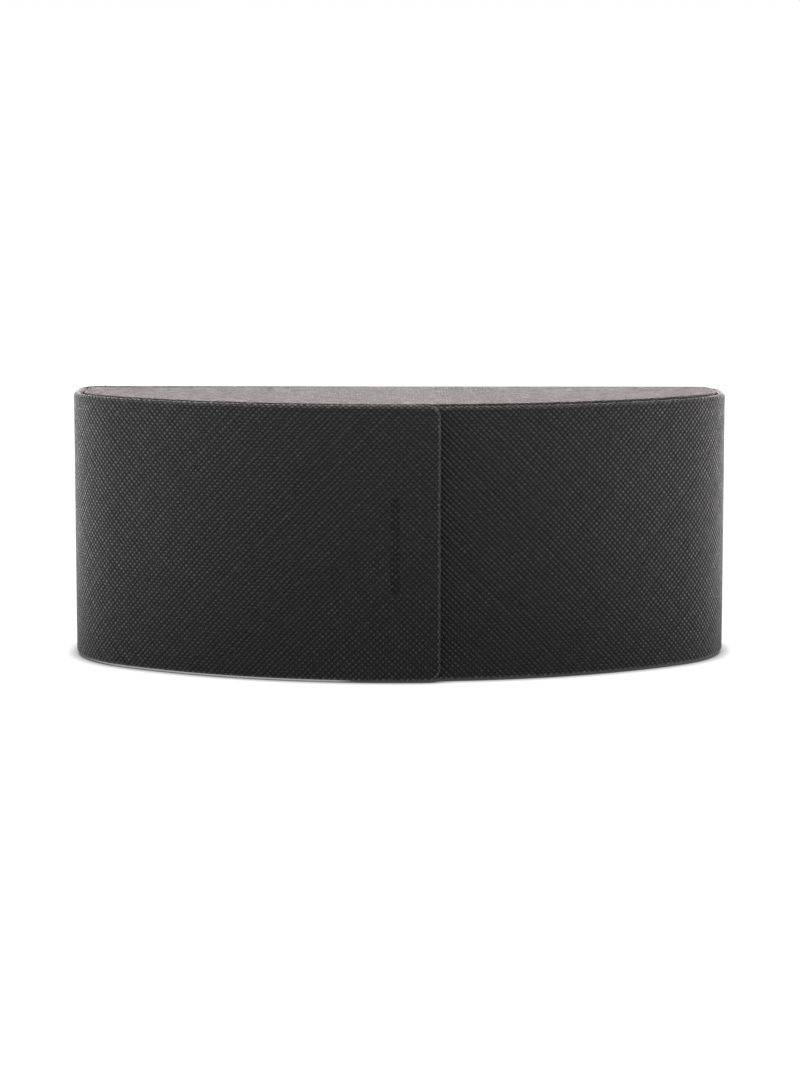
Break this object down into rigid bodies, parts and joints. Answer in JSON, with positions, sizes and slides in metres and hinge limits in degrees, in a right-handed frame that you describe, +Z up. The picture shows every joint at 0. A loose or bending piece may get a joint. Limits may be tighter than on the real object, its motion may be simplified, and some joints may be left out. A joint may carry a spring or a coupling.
{
  "type": "eyewear case",
  "caption": "Half-moon glasses case: leather-covered wall bent round two D-shaped ends, with a magnetic flap that swings open on a living hinge at the back.",
  "frame": {"origin": "centre of the lower end's outer face, on the surface the case stands on", "axes": "+Z up, -Y towards the curved front, +Y towards the flat back, +X towards the end away from the hinge"},
  "size_m": [0.168, 0.0662, 0.068],
  "materials": {
    "leather": "black cross-grain leather with a semi-gloss wax finish",
    "board": "plain grey board",
    "lining": "matt black microfibre",
    "foam": "thin foam under matt black microfibre",
    "magnet": "nickel-plated"
  },
  "bodies": {
    "case": {"shell_cover": "leather", "shell_board": "board", "shell_lining": "lining", "shell_magnet_lower": "magnet", "shell_magnet_middle": "magnet", "shell_magnet_upper": "magnet", "top_cover": "leather", "top_board": "board", "top_lining": "lining", "bottom_cover": "leather", "bottom_board": "board", "bottom_lining": "lining", "top_tape": "lining", "bottom_tape": "lining", "hinge_strip": "leather", "hinge_lining": "lining", "back_pad": "foam"},
    "flap": {"flap_cover": "leather", "flap_board": "board", "flap_lining": "lining", "flap_magnet_lower": "magnet", "flap_magnet_middle": "magnet", "flap_magnet_upper": "magnet"}
  },
  "joints": [
    {"name": "flap_hinge", "type": "hinge", "parent": "case", "child": "flap", "pos_m": [-0.074, 0.0331, 0.034], "axis": [0, 0, -1], "range_deg": [0, 110]}
  ]
}
